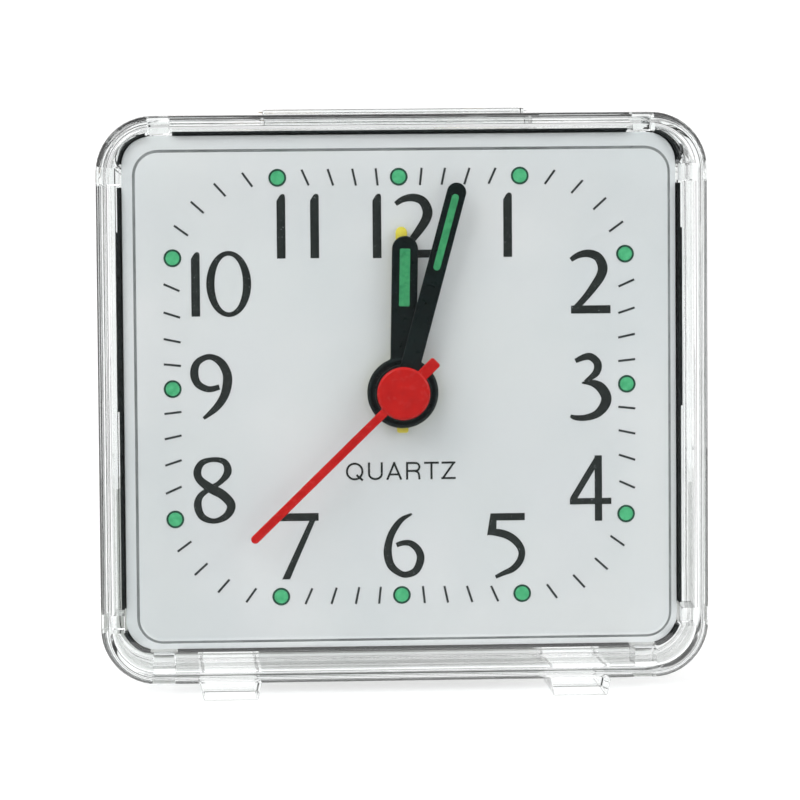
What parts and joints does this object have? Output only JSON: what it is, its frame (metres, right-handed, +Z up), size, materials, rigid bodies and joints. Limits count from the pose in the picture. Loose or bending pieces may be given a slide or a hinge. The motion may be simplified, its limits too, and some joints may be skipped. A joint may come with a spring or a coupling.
{
  "type": "alarm clock",
  "caption": "Small square quartz travel alarm clock with a clear plastic case on low feet, a white dial with four hands, rear setting knobs and a stop bar on top.",
  "frame": {"origin": "on the table under the middle of the clock's bounding box, at the level of the feet", "axes": "+Z up, the dial faces -Y, +X to the right of someone reading the dial"},
  "size_m": [0.058, 0.033, 0.056],
  "materials": {
    "clear_plastic": "polished clear polystyrene",
    "white_plastic": "moulded, fine matt texture",
    "dial_card": "matt white printed sheet",
    "black_plastic": "glossy black moulding",
    "hand_black": "semi-gloss black-green paint",
    "hand_red": "gloss red moulding",
    "hand_yellow": "satin yellow moulding",
    "nylon": "natural acetal",
    "brass": "rolled sheet",
    "steel": "bright plated steel",
    "copper_wire": "enamelled copper wire",
    "circuit_board": "solder mask on paper laminate",
    "magnet": "sintered magnet on a plastic pinion",
    "cell_jacket": "plain printed metal jacket",
    "red_lead": "wire insulation",
    "black_lead": "wire insulation"
  },
  "bodies": {
    "case": {"front_cover": "clear_plastic", "rear_case": "clear_plastic", "dial_frame": "black_plastic", "dial_plate": "dial_card", "case_screw_left": "steel", "case_screw_right": "steel", "stop_bar_spring": "steel", "movement_front_plate": "white_plastic", "movement_housing": "white_plastic", "train_bridge": "white_plastic", "bridge_screw_left": "steel", "bridge_screw_right": "steel", "stator": "steel", "coil_core": "steel", "coil_bobbin": "white_plastic", "coil_winding": "copper_wire", "circuit_board": "circuit_board", "chip_cap": "black_plastic", "quartz_can": "steel", "alarm_contact": "brass", "stop_contact": "brass", "buzzer": "brass", "buzzer_lead_red": "red_lead", "buzzer_lead_black": "black_lead", "battery": "cell_jacket", "battery_contact_positive": "steel", "battery_contact_negative": "steel", "battery_spring": "steel"},
    "seconds": {"second_hand": "hand_red", "second_wheel": "nylon"},
    "intermediate": {"intermediate_wheel": "nylon"},
    "rotor": {"rotor": "magnet"},
    "third": {"third_wheel": "nylon"},
    "centre": {"centre_wheel": "brass"},
    "minutes": {"minute_hand": "hand_black", "cannon_pinion": "nylon"},
    "time_setting": {"minute_wheel": "nylon", "time_knob": "white_plastic"},
    "hours": {"hour_hand": "hand_black", "hour_wheel": "nylon"},
    "alarm": {"alarm_hand": "hand_yellow", "alarm_wheel": "nylon"},
    "alarm_setting": {"alarm_idler": "nylon", "alarm_knob": "white_plastic"},
    "switch": {"alarm_switch": "white_plastic"},
    "bar": {"stop_bar": "clear_plastic"},
    "door": {"battery_door": "clear_plastic"}
  },
  "joints": [
    {"name": "second_hand_turn", "type": "hinge", "parent": "case", "child": "seconds", "pos_m": [0, 0, 0.02912], "axis": [0, 1, 0], "continuous": true},
    {"name": "intermediate_turn", "type": "hinge", "parent": "case", "child": "intermediate", "pos_m": [0.00402, 0, 0.03485], "axis": [0, 1, 0], "continuous": true},
    {"name": "rotor_turn", "type": "hinge", "parent": "case", "child": "rotor", "pos_m": [0.00775, 0, 0.03859], "axis": [0, 1, 0], "continuous": true},
    {"name": "third_turn", "type": "hinge", "parent": "case", "child": "third", "pos_m": [-0.00403, 0, 0.03487], "axis": [0, 1, 0], "continuous": true},
    {"name": "centre_turn", "type": "hinge", "parent": "case", "child": "centre", "pos_m": [0, 0, 0.02912], "axis": [0, 1, 0], "continuous": true},
    {"name": "minute_hand_turn", "type": "hinge", "parent": "case", "child": "minutes", "pos_m": [0, 0, 0.02912], "axis": [0, 1, 0], "continuous": true},
    {"name": "time_knob_turn", "type": "hinge", "parent": "case", "child": "time_setting", "pos_m": [0.00734, 0, 0.02715], "axis": [0, 1, 0], "continuous": true},
    {"name": "hour_hand_turn", "type": "hinge", "parent": "case", "child": "hours", "pos_m": [0, 0, 0.02912], "axis": [0, 1, 0], "continuous": true},
    {"name": "alarm_hand_turn", "type": "hinge", "parent": "case", "child": "alarm", "pos_m": [0, 0, 0.02912], "axis": [0, 1, 0], "continuous": true},
    {"name": "alarm_knob_turn", "type": "hinge", "parent": "case", "child": "alarm_setting", "pos_m": [-0.00742, 0, 0.02713], "axis": [0, 1, 0], "continuous": true},
    {"name": "alarm_switch_slide", "type": "slide", "parent": "case", "child": "switch", "axis": [1, 0, 0], "range_m": [0, 0.003]},
    {"name": "stop_bar_press", "type": "slide", "parent": "case", "child": "bar", "axis": [0, 0, -1], "range_m": [0, 0.00025], "stiffness_N_per_m": 150, "springref_m": -0.002, "deforming": ["stop_bar_spring"]},
    {"name": "battery_door_tilt", "type": "hinge", "parent": "case", "child": "door", "pos_m": [0, 0.0142, 0.0044], "axis": [-1, 0, 0], "range_deg": [0, 60]}
  ],
  "couplings": [
    {"joint": "intermediate_turn", "follows": "second_hand_turn", "ratio": -6},
    {"joint": "rotor_turn", "follows": "second_hand_turn", "ratio": 30},
    {"joint": "third_turn", "follows": "second_hand_turn", "ratio": -0.125},
    {"joint": "centre_turn", "follows": "second_hand_turn", "ratio": 0.016667},
    {"joint": "time_knob_turn", "follows": "minute_hand_turn", "ratio": -0.33333},
    {"joint": "hour_hand_turn", "follows": "minute_hand_turn", "ratio": 0.083333},
    {"joint": "alarm_knob_turn", "follows": "alarm_hand_turn", "ratio": -3}
  ]
}
